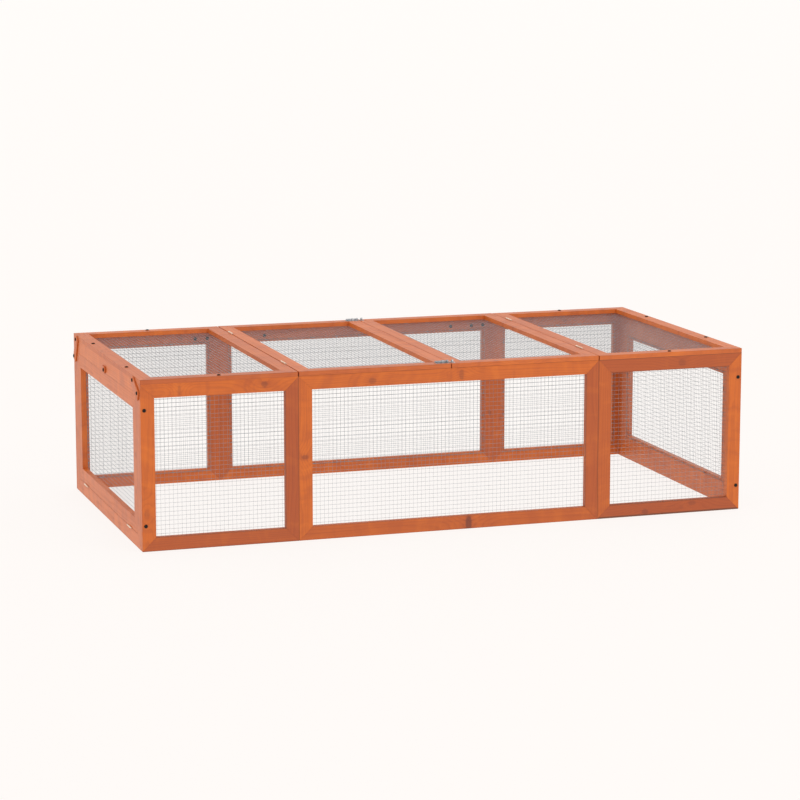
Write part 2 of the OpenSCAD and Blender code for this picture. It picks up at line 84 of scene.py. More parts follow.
class Finish:
    def __init__(self, name, **constants):
        self.material = bpy.data.materials.new(name)
        self.material.use_nodes = True
        self.tree = self.material.node_tree
        self.tree.nodes.clear()
        self.shader = self.tree.nodes.new("ShaderNodeBsdfPrincipled")
        output = self.tree.nodes.new("ShaderNodeOutputMaterial")
        self.tree.links.new(self.shader.outputs[0], output.inputs[0])
        for socket, value in constants.items():
            self.shader.inputs[socket.replace("_", " ")].default_value = value

    # Any node: its type, its settings first, then the values or links of its sockets
    def node(self, kind, settings=None, sockets=None, out=0):
        made = self.tree.nodes.new(kind)
        for key, value in (settings or {}).items():
            setattr(made, key, value)
        for key, value in (sockets or {}).items():
            if isinstance(value, Link):
                self.tree.links.new(value.socket, made.inputs[key])
            else:
                made.inputs[key].default_value = value
        return Link(self, made.outputs[out])

    def calc(self, operation, first, second=0.0):
        return self.node("ShaderNodeMath", {"operation": operation}, {0: first, 1: second})

    def vector(self, operation, first, second):
        return self.node("ShaderNodeVectorMath", {"operation": operation}, {0: first, 1: second})

    # A vector or a number stored with each corner of the mesh
    def stored(self, name, out="Vector"):
        return self.node("ShaderNodeAttribute", {"attribute_name": name}, None, out)

    # One part of a vector: X, Y or Z
    def part(self, vector, axis):
        return self.node("ShaderNodeSeparateXYZ", None, {"Vector": vector}, axis)

    # Noise from 0 to 1 with its own number of patches a metre along each axis
    def noise(self, place, scale, detail, rough=0.5):
        stretched = self.vector("MULTIPLY", place, scale)
        return self.node("ShaderNodeTexNoise", None,
                         {"Vector": stretched, "Scale": 1.0, "Detail": detail, "Roughness": rough}, "Fac")

    # Goes smoothly from 0 to 1 as value goes from start to end, either of which may be the larger
    def step(self, value, start, end):
        return self.node("ShaderNodeMapRange", {"interpolation_type": "SMOOTHSTEP"},
                         {"Value": value, "From Min": start, "From Max": end}, "Result")

    # Goes from the first colour to the second as factor goes from 0 to 1
    def mix(self, factor, first, second):
        colours = [value if isinstance(value, Link) else (*value, 1) for value in (first, second)]
        return self.node("ShaderNodeMix", {"data_type": "RGBA"}, {0: factor, 6: colours[0], 7: colours[1]}, 2)

    # Length of a vector after each part is multiplied by its own number
    def span(self, place, scale):
        stretched = self.vector("MULTIPLY", place, scale)
        return self.node("ShaderNodeVectorMath", {"operation": "LENGTH"}, {0: stretched}, "Value")

    def bump(self, height, strength, distance):
        return self.node("ShaderNodeBump", None,
                         {"Height": height, "Strength": strength, "Distance": distance}, "Normal")

    def feed(self, **links):
        for socket, link in links.items():
            self.tree.links.new(link.socket, self.shader.inputs[socket.replace("_", " ")])
        return self.material


# sRGB 0 to 255 to linear light: a share c becomes ((c + 0.055) / 1.055) to the power 2.4, or c / 12.92 if dark
def paint(red, green, blue):
    return tuple(((c / 255 + 0.055) / 1.055) ** 2.4 if c > 10 else c / 255 / 12.92 for c in (red, green, blue))


# pale is the salmon of a painted sheen, the white reflection on the end walls and tops
# rim is the dark of the painted shade along the arrises and of a painted contact shadow
woodLook = {
    "light": paint(216, 107, 16), "deep": paint(172, 78, 28), "pale": paint(205, 125, 95),
    "darkGrain": paint(172, 78, 24), "deepGrain": paint(140, 60, 28), "stainPool": paint(172, 78, 26),
    "worn": paint(228, 122, 28), "rim": paint(96, 52, 26), "knot": paint(112, 50, 30),
    "ring": 4.4 * mm, "ringShift": {"sway": 2.4, "ripple": 0.4, "swell": 3.2},
    "lateStart": (0.45, 0.93), "lateEnd": (0.94, 1.0), "late": 0.26, "lateByKnot": 0.5,
    "bandBySwell": 0.03, "bandBySway": 0.05, "wornLost": 0.7,
    "shine": 0.5, "coatRough": 0.3, "rough": 0.44, "fibreRough": 0.12, "lateRough": 0.06,
    "relief": {"fibre": 0.6, "late": 0.6, "streak": 0.3, "pores": -0.4, "core": -0.5},
    "bump": 0.5, "bumpDepth": 0.25 * mm,
}
# patches a metre along, across and through the log, detail, and roughness where it isn't the usual
woodNoise = {
    "sway": ((3.2, 15, 15), 2.0), "ripple": ((10, 80, 80), 1.0), "band": ((30, 8, 8), 2.0),
    "fibre": ((12, 900, 900), 3.0, 0.6), "pores": ((45, 2600, 2600), 2.0, 0.6),
    "streak": ((4, 230, 230), 2.0, 0.55), "blotch": ((9, 30, 30), 3.0, 0.6),
}
# where the noise starts to show, where it shows in full, and how strongly
woodMarks = {
    "fibre": (0.46, 0.76, 0.22), "pores": (0.5, 0.72, 0.16), "streak": (0.42, 0.78, 0.22),
    "blotchPool": (0.52, 0.76, 0.4), "bandPool": (0.52, 0.7, 0.4),
    "blotchWorn": (0.46, 0.28, 0.2), "bandWorn": (0.48, 0.3, 0.26),
}
# core and halo end between two distances, in knot radii; ringDark: darkness between its rings, and what they add
knotLook = {"swell": (0.20, 0.42, 0), "ragged": ((160, 240, 240), 1.0), "raggedBy": 0.5, "core": (0.85, 1.35),
            "halo": (0.9, 2.6), "haloStain": 0.5, "rings": 3, "ringDark": (0.7, 0.3)}
# painted shade along the arrises: its edges, how ragged it is, and its strength and reach by tone; the further reach
# from the outer arris of the deepest boards is a painted contact shadow
arrisShadeLook = {"wide": (0.8 * mm, 3.2 * mm), "ragged": 1.2 * mm, "tones": (0.3, 1.2), "least": 0.06, "more": 0.75,
           "deepest": (1.0, 1.2), "wider": 4.6 * mm}


# Stained softwood. The attribute grain holds a place in the log: x along it, y and z from its heart. Rings are
# the distance from the heart, shifted by noise. knotA and knotB hold the way from a knot's middle in knot
# radii, and its darkness: rings swell round it as a bell curve of that distance. edge holds the distances from
# both edges and from the outer face: the colour is darker along the arrises of deep boards, a painted shade,
# and the dark band reaches further from the outer arris of the deepest, a painted contact shadow. tone goes
# from 0, orange, to 1, deep red-brown. The pale share mixed in is a painted sheen on the ends and tops.
def stainedWood(name, sheenShare, varnish):
    look = Finish(name, Coat_Weight=varnish, Coat_Roughness=woodLook["coatRough"],
                  Specular_IOR_Level=woodLook["shine"])
    grain, edge, tone = look.stored("grain"), look.stored("edge"), look.stored("tone", "Fac")
    noises = {key: look.noise(grain, *woodNoise[key]) for key in woodNoise if key != "band"}

    def mark(value, key):
        start, end, share = woodMarks[key]
        return look.step(value, start, end) * share

    swell, core, halo = 0, 0, 0
    base, more = knotLook["ringDark"]
    for knot in ("knotA", "knotB"):
        away = look.stored(knot)
        darkness = look.part(away, "Z")
        wide = look.span(away, knotLook["swell"])
        swell = swell + look.calc("EXPONENT", wide * wide * -1)
        near = look.span(away, (1, 1, 0)) + look.noise(grain, *knotLook["ragged"]) * knotLook["raggedBy"]
        ringed = base + look.calc("FRACT", near * knotLook["rings"]) * more
        core = core + (1 - look.step(near, *knotLook["core"])) * darkness * ringed
        halo = halo + (1 - look.step(near, *knotLook["halo"])) * darkness

    y, z = look.part(grain, "Y"), look.part(grain, "Z")
    shifts = {"sway": noises["sway"], "ripple": noises["ripple"], "swell": swell}
    shift = sum(value * woodLook["ringShift"][key] for key, value in shifts.items())
    saw = look.calc("FRACT", look.calc("SQRT", y * y + z * z) / woodLook["ring"] + shift)
    late = look.step(saw, *woodLook["lateStart"]) * (1 - look.step(saw, *woodLook["lateEnd"]))
    slide = swell * woodLook["bandBySwell"] + noises["sway"] * woodLook["bandBySway"]
    moved = look.vector("ADD", grain, look.node("ShaderNodeCombineXYZ", None, {"X": slide}))
    band = look.noise(moved, *woodNoise["band"])

    # the pale colour mixed in here is a painted sheen, standing in for the white reflection on the ends and tops
    stain = look.mix(sheenShare, look.mix(tone, woodLook["light"], woodLook["deep"]), woodLook["pale"])
    dark = look.mix(tone, woodLook["darkGrain"], woodLook["deepGrain"])
    lines = late * (woodLook["late"] + halo * woodLook["lateByKnot"])
    for key in ("streak", "fibre", "pores"):
        lines = lines + mark(noises[key], key)
    colour = look.mix(lines, stain, dark)
    pool = mark(noises["blotch"], "blotchPool") + mark(band, "bandPool")
    colour = look.mix(pool, colour, woodLook["stainPool"])
    worn = mark(noises["blotch"], "blotchWorn") + mark(band, "bandWorn")
    colour = look.mix(worn * (1 - tone * woodLook["wornLost"]), colour, woodLook["worn"])
    colour = look.mix(halo * knotLook["haloStain"], colour, woodLook["stainPool"])
    colour = look.mix(core, colour, woodLook["knot"])

    # painted shade along the arrises of deep boards, and a painted contact shadow reaching further from the outer arris
    # of the deepest
    outer = look.span(edge, (1, 0, 1)) - look.step(tone, *arrisShadeLook["deepest"]) * arrisShadeLook["wider"]
    arris = look.calc("MINIMUM", outer, look.span(edge, (0, 1, 1))) + noises["fibre"] * arrisShadeLook["ragged"]
    strength = look.step(tone, *arrisShadeLook["tones"]) * arrisShadeLook["more"] + arrisShadeLook["least"]
    colour = look.mix((1 - look.step(arris, *arrisShadeLook["wide"])) * strength, colour, woodLook["rim"])

    heights = {"fibre": noises["fibre"], "late": late, "streak": noises["streak"], "pores": noises["pores"],
               "core": core}
    relief = sum(value * woodLook["relief"][key] for key, value in heights.items())
    rough = woodLook["rough"] + noises["fibre"] * woodLook["fibreRough"] + late * woodLook["lateRough"]
    return look.feed(Base_Color=colour, Roughness=rough,
                     Normal=look.bump(relief, woodLook["bump"], woodLook["bumpDepth"]))


zincLook = {"cloud": ((70, 70, 70), 3.0), "cloudEdges": (0.35, 0.7), "cloudShare": 0.6, "cloudRough": 0.16,
            "scratch": ((240, 1900, 1900), 2.0), "bump": 0.2, "bumpDepth": 0.05 * mm}


# Bright metal: the duller colour comes in where a cloudy noise is high, and a fine noise cuts scratches
def zincFinish(name, colour, dull, rough, metal=0.9):
    look = Finish(name, Metallic=metal)
    place = look.node("ShaderNodeTexCoord", None, None, "Object")
    cloud = look.noise(place, *zincLook["cloud"])
    scratch = look.noise(place, *zincLook["scratch"])
    tint = look.mix(look.step(cloud, *zincLook["cloudEdges"]) * zincLook["cloudShare"], colour, dull)
    return look.feed(Base_Color=tint, Roughness=rough + cloud * zincLook["cloudRough"],
                     Normal=look.bump(scratch, zincLook["bump"], zincLook["bumpDepth"]))


blackLook = {"black": paint(44, 42, 40), "steel": paint(96, 94, 92), "shine": 0.05, "wear": ((420, 420, 420), 3.0),
             "wearEdges": (0.56, 0.75), "wearShare": 0.5, "rough": 0.5, "wornRough": 0.2}


# Blackened screws: steel shows in spots where a fine noise is high, as if a driver had rubbed there
def screwFinish(name):
    look = Finish(name, Specular_IOR_Level=blackLook["shine"])
    place = look.node("ShaderNodeTexCoord", None, None, "Object")
    wear = look.step(look.noise(place, *blackLook["wear"]), *blackLook["wearEdges"])
    return look.feed(Base_Color=look.mix(wear * blackLook["wearShare"], blackLook["black"], blackLook["steel"]),
                     Roughness=blackLook["rough"] + wear * blackLook["wornRough"])


# wood: its share of the pale colour, a painted sheen that stands in for the white reflection on the end walls, roof,
# door and plates, and its share of varnish; zinc: its two colours, roughness and share of metal
finishes = {
    "wall_wood": stainedWood("wallWood", 0.0, 0.12),
    "end_wood": stainedWood("endWood", 0.05, 0.20),
    "roof_wood": stainedWood("roofWood", 0.09, 0.12),
    "door_wood": stainedWood("doorWood", 0.05, 0.20),
    "plate_wood": stainedWood("plateWood", 0.10, 0.12),
    "mesh": zincFinish("galvanisedWire", paint(156, 162, 167), paint(122, 129, 135), 0.36),
    "hinge_steel": zincFinish("hingeZinc", paint(246, 226, 206), paint(222, 200, 178), 0.36),
    "bolt_steel": zincFinish("boltZinc", paint(190, 194, 198), paint(112, 116, 122), 0.22),
    "plate_paint": zincFinish("brownPaint", paint(186, 100, 62), paint(166, 86, 54), 0.45, 0.1),
    "screw": screwFinish("blackScrew"),
}
print("finishes made:", len(finishes))


# Puts arrays of corners and faces into a mesh that rides on a body and stands in for the nodes. Edges sharper
# than smooth, in degrees, stay sharp, unless the shape brings its own normals.
def piece(name, corners, faces, body, slot, nodes=(), smooth=35, attributes=None, normals=None):
    mesh = bpy.data.meshes.new(name)
    mesh.from_pydata(corners.tolist(), [], faces)
    for key, (kind, values) in (attributes or {}).items():
        layer = mesh.attributes.new(key, kind, "POINT")
        layer.data.foreach_set("vector" if kind == "FLOAT_VECTOR" else "value", values.ravel())
    mesh.update()
    mesh.polygons.foreach_set("use_smooth", np.ones(len(mesh.polygons), bool))
    if normals is None:
        mesh.set_sharp_from_angle(angle=math.radians(smooth))
    else:
        mesh.normals_split_custom_set(normals)
    made = bpy.data.objects.new(name, mesh)
    bpy.context.scene.collection.objects.link(made)
    mesh.materials.append(finishes[slot])
    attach(made, body)
    if nodes:
        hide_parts(*nodes)


# Joins several (corners, faces) shapes into one
def joined(shapes):
    corners, faces, count = [], [], 0
    for points, polygons in shapes:
        corners.append(points)
        faces += [[i + count for i in polygon] for polygon in polygons]
        count += len(points)
    return np.concatenate(corners), faces


# A grid of rings, each closed: quads between neighbouring rings, and a face over each end
def ringFaces(rings, around, capped=True):
    ring, step = np.meshgrid(np.arange(rings - 1), np.arange(around), indexing="ij")
    after = (step + 1) % around
    quads = np.stack([ring * around + step, ring * around + after,
                      (ring + 1) * around + after, (ring + 1) * around + step], -1).reshape(-1, 4).tolist()
    if capped:
        quads.append(list(range(around - 1, -1, -1)))
        quads.append([(rings - 1) * around + i for i in range(around)])
    return quads


# A rounded rectangle from (0, 0) to (width, thick): quarter circles at its corners, counter-clockwise, and the
# direction outwards at each point
def roundedOutline(width, thick, radius, steps):
    quarter = np.linspace(0, math.pi / 2, steps + 1)
    angles = np.concatenate([quarter + turn * math.pi / 2 for turn in range(4)])
    outward = np.stack([np.cos(angles), np.sin(angles)], 1)
    centres = ((width - radius, thick - radius), (radius, thick - radius), (radius, radius), (width - radius, radius))
    return np.repeat(np.array(centres, float), steps + 1, axis=0) + radius * outward, outward


boardLook = {"edge": 0.45, "sharp": 0.18, "edgeSteps": 3, "mitreGap": 0.12, "endEase": 0.35,
             "sharpPanels": ("left_end", "door", "front_left", "front_middle", "front_right")}
# what each board's place in its log is drawn from, along it in metres, the rest in millimetres, and then how
# many knots it has, where (as shares of the board), how large and how dark
logLook = {"along": (0, 40), "aside": 12, "depth": (14, 46), "askew": 0.006, "toneSpread": 0.03,
           "knotChances": (0.35, 0.45, 0.20), "knotAlong": (0.1, 0.9), "knotAcross": (0.15, 0.85),
           "knotLong": (6, 10), "knotWide": (5, 8), "knotDark": (0.25, 0.5), "noKnot": (-1e5, 0, 1, 1, 0)}


# The wood's attributes at places (along, across, through) of a board: the heart of the log lies beside or
# behind the board and runs slightly askew, and knots are (along, across, half length, half width, darkness)
def grainAt(flat, length, width, tone, knots):
    heart = np.array([rng.uniform(*logLook["along"]),
                      rng.uniform(-logLook["aside"], width + logLook["aside"]) - width / 2,
                      rng.uniform(*logLook["depth"])])
    askew = rng.normal(0, logLook["askew"], 2)
    along = flat[:, 0]
    log = np.column_stack([along + heart[0] / mm, flat[:, 1] - width / 2 + heart[1] + askew[0] * along,
                           flat[:, 2] + heart[2] + askew[1] * along]) * mm
    if knots is None:
        knots = [(rng.uniform(*logLook["knotAlong"]) * length, rng.uniform(*logLook["knotAcross"]) * width,
                  rng.uniform(*logLook["knotLong"]), rng.uniform(*logLook["knotWide"]),
                  rng.uniform(*logLook["knotDark"])) for _ in range(rng.choice(3, p=logLook["knotChances"]))]
    tones = np.full(len(flat), tone + rng.normal(0, logLook["toneSpread"]))
    edges = np.column_stack([flat[:, 1], width - flat[:, 1], flat[:, 2]]) * mm
    attributes = {"grain": ("FLOAT_VECTOR", log), "tone": ("FLOAT", tones), "edge": ("FLOAT_VECTOR", edges)}
    for index, name in enumerate(("knotA", "knotB")):
        place = knots[index] if index < len(knots) else logLook["noKnot"]
        away = np.column_stack([(along - place[0]) / place[2], (flat[:, 1] - place[1]) / place[3],
                                np.full(len(flat), place[4], float)])
        attributes[name] = ("FLOAT_VECTOR", away)
    return attributes


# Puts the attributes of several shapes end to end, as joined does with the shapes
def joinedAttributes(parts):
    return {key: (parts[0][key][0], np.concatenate([part[key][1] for part in parts])) for key in parts[0]}


# One mitred board: a rounded profile (across, through) carried along it from the mitre plane along = across
# to along = length - across. axes are the three directions, start the outer corner.
def board(length, width, thick, start, axes, tone, edge, knots):
    outline, outward = roundedOutline(width, thick, edge, boardLook["edgeSteps"])
    ease, gap = boardLook["endEase"], boardLook["mitreGap"]
    inner = np.clip(outline, ease, [width - ease, thick - ease])
    rings = []
    for shape, inset in ((inner, gap), (outline, gap + ease)):
        rings.append(np.column_stack([shape[:, 0] + inset, shape]))
    for shape, inset in ((outline, gap + ease), (inner, gap)):
        rings.append(np.column_stack([length - shape[:, 0] - inset, shape]))
    flat = np.concatenate(rings)
    around = len(outline)
    axes = np.array(axes, float)
    corners = (np.array(start, float) + flat @ axes) * mm
    faces = ringFaces(len(rings), around)
    side = np.column_stack([np.zeros(around), outward]) @ axes
    if np.linalg.det(axes) < 0:
        faces = [polygon[::-1] for polygon in faces]
    # the direction at each corner of each face: the profile's own along the sides, the face's own on the ends
    index = np.concatenate([np.array(polygon) for polygon in faces])
    normals = side[index % around]
    slope = np.array([[-1, 1, 0], [1, 1, 0]], float) / math.sqrt(2) @ axes
    normals[-2 * around:-around] = slope[0]
    normals[-around:] = slope[1]
    return corners, faces, normals, grainAt(flat, length, width, tone, knots)


# Knots where the photo shows them, on the first or second board of a pair
placedKnots = {
    ("front_left", "rails"): {1: [(352, 17, 11, 10, 0.55), (110, 20, 5, 16, 0.28)]},
    ("front_left", "stiles"): {1: []},
    ("front_middle", "rails"): {0: [(503, 16, 11, 26, 0.95)], 1: [(215, 24, 13, 10, 0.42), (480, 20, 8, 18, 0.4)]},
    ("front_middle", "stiles"): {0: [(238, 17, 7, 12, 0.5)], 1: []},
    ("front_right", "stiles"): {0: [], 1: []},
    ("front_right", "rails"): {0: [(150, 12, 12, 9, 0.5), (300, 28, 14, 8, 0.4)], 1: [(260, 20, 14, 12, 0.35)]},
    ("left_end", "rails"): {0: [], 1: []},
    ("door", "rails"): {0: [], 1: []},
}


# Two boards of a mitred frame. Rails run along u, stiles along v, and b goes from the outer face inwards: the
# second board is the first one mirrored to the frame's far side.
def frameBoards(length, height, width, thick, origin, axes, tones, kind, edge, knots):
    u, v, b = np.array(axes, float)
    origin = np.array(origin, float)
    if kind == "rails":
        plan = ((length, origin, (u, v, b)), (length, origin + v * height, (u, -v, b)))
    else:
        plan = ((height, origin, (v, u, b)), (height, origin + u * length, (v, -u, b)))
    made = [board(long, width, thick, start, boardAxes, tone, edge, knots.get(index))
            for index, ((long, start, boardAxes), tone) in enumerate(zip(plan, tones))]
    corners, faces = joined([(m[0], m[1]) for m in made])
    return corners, faces, np.concatenate([m[2] for m in made]), joinedAttributes([m[3] for m in made])


frontAxes = ((1, 0, 0), (0, 0, 1), (0, 1, 0))
backAxes = ((1, 0, 0), (0, 0, 1), (0, -1, 0))
leftAxes = ((0, 1, 0), (0, 0, 1), (1, 0, 0))
rightAxes = ((0, 1, 0), (0, 0, 1), (-1, 0, 0))
roofAxes = ((1, 0, 0), (0, 1, 0), (0, 0, -1))
# the seams between the wall frames are nearly closed, and those round the door are closed up by doorClosed on
# either side, with the hinge leaves let into the wood
wallSeam = 0.2
doorClosed = 0.65
outerLength = hutch["sidePanel"] - wallSeam / 2
middleLength = 2 * seamX - wallSeam
wallX = (-endX, -seamX + wallSeam / 2, seamX + wallSeam / 2)
endLength = hutch["width"] - 2 * hutch["wallThick"]
endRail = hutch["rail"] + doorClosed
doorBottom = hutch["rail"] + hutch["doorHingeGap"] - doorClosed
doorLength = endLength - 2 * hutch["rail"] - 2 * hutch["doorGap"]
doorHeight = wallTop - hutch["rail"] - hutch["doorGap"] - doorBottom
fixedRoof = hutch["sidePanel"] - hutch["lidHingeGap"] / 2
lidLength = seamX - hutch["lidHingeGap"] / 2 - hutch["lidGap"] / 2


# The shape of a frame: length, height, width of its boards, thickness, outer corner, directions
def wallShape(length, x, side):
    axes = frontAxes if side < 0 else backAxes
    return length, wallTop, hutch["rail"], hutch["wallThick"], (x, side * sideY, 0), axes


def endShape(wide, x, axes):
    return endLength, wallTop, wide, hutch["wallThick"], (x, -endLength / 2, 0), axes


def roofShape(length, x, top):
    return length, hutch["width"], hutch["rail"], hutch["roofThick"], (x, -sideY, top), roofAxes


doorShape = (doorLength, doorHeight, hutch["rail"], hutch["wallThick"], (-endX, -doorLength / 2, doorBottom), leftAxes)
# name: body, slot, shape, gauge of its mesh if it has one, tones of (bottom rail, top rail) and of (left stile,
# right stile), where the front of the roof counts as its bottom
panels = {
    "front_left": ("frame", "wall_wood", wallShape(outerLength, wallX[0], -1), "front", (0.86, 0.22), (0.25, 0.96)),
    "front_middle": ("frame", "wall_wood", wallShape(middleLength, wallX[1], -1), "front",
                     (0.58, 0.25), (0.22, 0.86)),
    # this bottom rail's tone over 1 gives it the painted contact shadow along its lower arris
    "front_right": ("frame", "wall_wood", wallShape(outerLength, wallX[2], -1), "front",
                    (1.16, 0.86), (0.66, 0.20)),
    "back_left": ("frame", "wall_wood", wallShape(outerLength, wallX[0], 1), "back", (0.30, 0.52), (0.36, 0.62)),
    "back_middle": ("frame", "wall_wood", wallShape(middleLength, wallX[1], 1), "back",
                    (0.34, 0.54), (0.60, 0.64)),
    "back_right": ("frame", "wall_wood", wallShape(outerLength, wallX[2], 1), "back", (0.28, 0.48), (0.58, 0.50)),
    "left_end": ("frame", "end_wood", endShape(endRail, -endX, leftAxes), None, (0.06, 0.02), (0.30, 0.26)),
    "right_end": ("frame", "end_wood", endShape(hutch["endBoard"], endX, rightAxes), "end",
                  (0.36, 0.52), (0.50, 0.60)),
    "roof_left": ("frame", "roof_wood", roofShape(fixedRoof, -endX, hutch["height"]), "roof",
                  (0.62, 0.14), (0.26, 0.34)),
    "roof_right": ("frame", "roof_wood", roofShape(fixedRoof, endX - fixedRoof, hutch["height"]), "roof",
                   (0.24, 0.26), (0.30, 0.0)),
    "left_lid": ("left_lid", "roof_wood", roofShape(lidLength, -hutch["lidGap"] / 2 - lidLength, lidTop), "roof",
                 (0.50, 0.30), (0.16, 0.12)),
    "right_lid": ("right_lid", "roof_wood", roofShape(lidLength, hutch["lidGap"] / 2, lidTop), "roof",
                  (0.24, 0.28), (0.16, 0.28)),
    "door": ("end_door", "door_wood", doorShape, "end", (0.16, 0.16), (0.30, 0.32)),
}


# A node's name as a piece's: roof_left becomes roofLeft
def camel(name):
    first, *rest = name.split("_")
    return first + "".join(word.capitalize() for word in rest)


for panelName, (body, slot, shape, gauge, *toneSets) in panels.items():
    edge = boardLook["sharp" if panelName in boardLook["sharpPanels"] else "edge"]
    for kind, tones in zip(("rails", "stiles"), toneSets):
        knots = placedKnots.get((panelName, kind), {})
        corners, faces, normals, attributes = frameBoards(*shape, tones, kind, edge, knots)
        node = panelName + "_" + kind
        piece(camel(node), corners, faces, body, slot, (node,), attributes=attributes, normals=normals)
print("timber frames made:", len(panels))

# gauges: radius of the wires along u, and of those along v
wireLook = {"pitch": (12.0, 12.2), "sides": 6, "lap": 9.5, "weld": 0.80,
            "gauges": {"front": (0.34, 0.23), "back": (0.42, 0.31), "end": (0.40, 0.25), "roof": (0.28, 0.46)}}


# Straight wires side by side: (wires, ends, sides) corners, a circle of the radius at both ends
def wires(offsets, ends, depth, radius):
    count, around = len(offsets), wireLook["sides"]
    turn = np.arange(around) * 2 * math.pi / around
    across = np.broadcast_to(offsets[:, None, None] + radius * np.cos(turn), (count, 2, around))
    through = np.broadcast_to(depth + radius * np.sin(turn), across.shape)
    along = np.broadcast_to(np.array(ends)[None, :, None], across.shape)
    one = np.array(ringFaces(2, around, False))
    starts = np.arange(count)[:, None, None] * 2 * around
    ring = np.arange(around)
    caps = starts + np.stack([ring[::-1], around + ring])
    return along, across, through, (starts + one).reshape(-1, 4).tolist() + caps.reshape(-1, around).tolist()


# Welded mesh on the inner face of a frame: as many wires as fit at the pitch, centred, and lapping onto the
# boards. The wires along v lie on the wood, those along u on top of them.
def weldedMesh(length, height, width, thick, corner, axes, gauge):
    lap = wireLook["lap"]
    spans = []
    for size, pitch in zip((length, height), wireLook["pitch"]):
        low, high = width - lap, size - width + lap
        count = int((high - low) // pitch)
        first = (low + high - count * pitch) / 2
        spans.append((low, high, first + pitch * np.arange(count + 1)))
    (lowU, highU, gridU), (lowV, highV, gridV) = spans
    axes = np.array(axes, float)
    radiusU, radiusV = wireLook["gauges"][gauge]
    shapes = []
    along, across, through, faces = wires(gridU, (lowV, highV), thick + radiusV, radiusV)
    shapes.append((np.stack([across, along, through], -1).reshape(-1, 3), faces, -1))
    depth = thick + radiusV + wireLook["weld"] * (radiusU + radiusV)
    along, across, through, faces = wires(gridV, (lowU, highU), depth, radiusU)
    shapes.append((np.stack([along, across, through], -1).reshape(-1, 3), faces, 1))
    hand = 1 if np.linalg.det(axes) > 0 else -1
    done = [((np.array(corner, float) + points @ axes) * mm,
             polygons if turn * hand > 0 else [p[::-1] for p in polygons]) for points, polygons, turn in shapes]
    return joined(done)


for panelName, (body, slot, shape, gauge, *toneSets) in panels.items():
    if gauge:
        node = panelName + "_mesh"
        piece(camel(node), *weldedMesh(*shape, gauge), body, "mesh", (node,), smooth=70)
print("welded mesh made")


# Moves a shape into the hutch: rows of axes are where its x, y and z point, place is where its origin goes
def placed(shape, axes, place):
    corners, faces = shape
    axes = np.array(axes, float)
    if np.linalg.det(axes) < 0:
        faces = [face[::-1] for face in faces]
    return (corners @ axes + np.array(place, float)) * mm, faces


# Axes whose z points along normal, turned about it by spin
def facing(normal, spin):
    z = np.array(normal, float)
    x = np.cross((0, 0, 1) if abs(z[1]) > 0.5 else (0, 1, 0), z)
    y = np.cross(z, x)
    return np.array([math.cos(spin) * x + math.sin(spin) * y, math.cos(spin) * y - math.sin(spin) * x, z])


# A closed turned shape: each row gives a radius and a height, or one of each for every angle
def turned(rows, angles):
    rings = [np.column_stack([radius * np.cos(angles), radius * np.sin(angles), height + 0 * angles])
             for radius, height in rows]
    return np.concatenate(rings), ringFaces(len(rings), len(angles))


# A flat plate with rounded corners: rings of its outline, drawn in along a quarter circle at both faces
def flatPlate(length, width, thick, radius, ease, steps=5):
    outline, outward = roundedOutline(length, width, radius, steps)
    turn = np.array([0, 0.5, 1]) * math.pi / 2
    inset = ease * (1 - np.sin(turn))
    height = ease * (1 - np.cos(turn))
    levels = list(zip(inset, height)) + list(zip(inset[::-1], thick - height[::-1]))
    rings = [np.column_stack([outline - outward * i, np.full(len(outline), h)]) for i, h in levels]
    return np.concatenate(rings), ringFaces(len(rings), len(outline))


# point: radius and distance from the tip, in shank radii; rim and dome: radii in head radii; slotFloor: radius
# in cross radii and height in head heights
screwLook = {"slotWide": 0.16, "slotLong": 0.58, "domeFall": 0.42, "point": ((0.2, 0), (0.75, 1.5), (1, 3)),
             "rim": 0.97, "rimHeight": 0.2, "dome": (0.95, 0.8), "slotLip": 1.08, "slotSink": 0.04,
             "slotFloor": ((0.8, 0.38), (0.25, 0.28))}
bigScrew = {"head": 5.2, "height": 3.0, "shank": 1.8}
smallScrew = {"head": 1.9, "height": 0.8, "shank": 1.0}
leafScrew = {"head": 2.1, "height": 0.2, "shank": 1.1}


# A cross-headed screw with the underside of its head at 0. The head's height falls with the square of the
# radius, and its inner rings follow the cross: an arm's flat end, or its side, whichever the angle meets.
def screw(size, length):
    head, height, shank = size["head"], size["height"], size["shank"]
    wide, long = screwLook["slotWide"] * head, screwLook["slotLong"] * head
    corner = math.atan2(wide, long)
    between = (corner + math.pi / 4) / 2
    quarter = np.array([0, corner, between, math.pi / 4, math.pi / 2 - between, math.pi / 2 - corner])
    angles = (quarter + np.arange(4)[:, None] * math.pi / 2).ravel()
    folded = np.abs((angles + math.pi / 4) % (math.pi / 2) - math.pi / 4)
    cross = np.where(folded < corner + 1e-6, long / np.cos(folded), wide / np.sin(np.maximum(folded, corner)))

    def onDome(radius):
        return radius, height * (1 - screwLook["domeFall"] * (radius / head) ** 2)

    rows = [(radius * shank, up * shank - length) for radius, up in screwLook["point"]]
    rows += [(shank, 0), (screwLook["rim"] * head, 0), (head, screwLook["rimHeight"] * height)]
    rows += [onDome(radius * head) for radius in screwLook["dome"]] + [onDome(screwLook["slotLip"] * cross)]
    rows.append((cross, onDome(cross)[1] - screwLook["slotSink"] * height))
    rows += [(radius * cross, up * height) for radius, up in screwLook["slotFloor"]]
    return turned(rows, angles)


# All the screws of one node: (place, direction that the head faces, length)
def screws(name, size, places, body, nodes=()):
    shapes = [placed(screw(size, length), facing(normal, rng.uniform(0, math.pi)), place)
              for place, normal, length in places]
    piece(name, *joined(shapes), body, "screw", nodes, smooth=40)


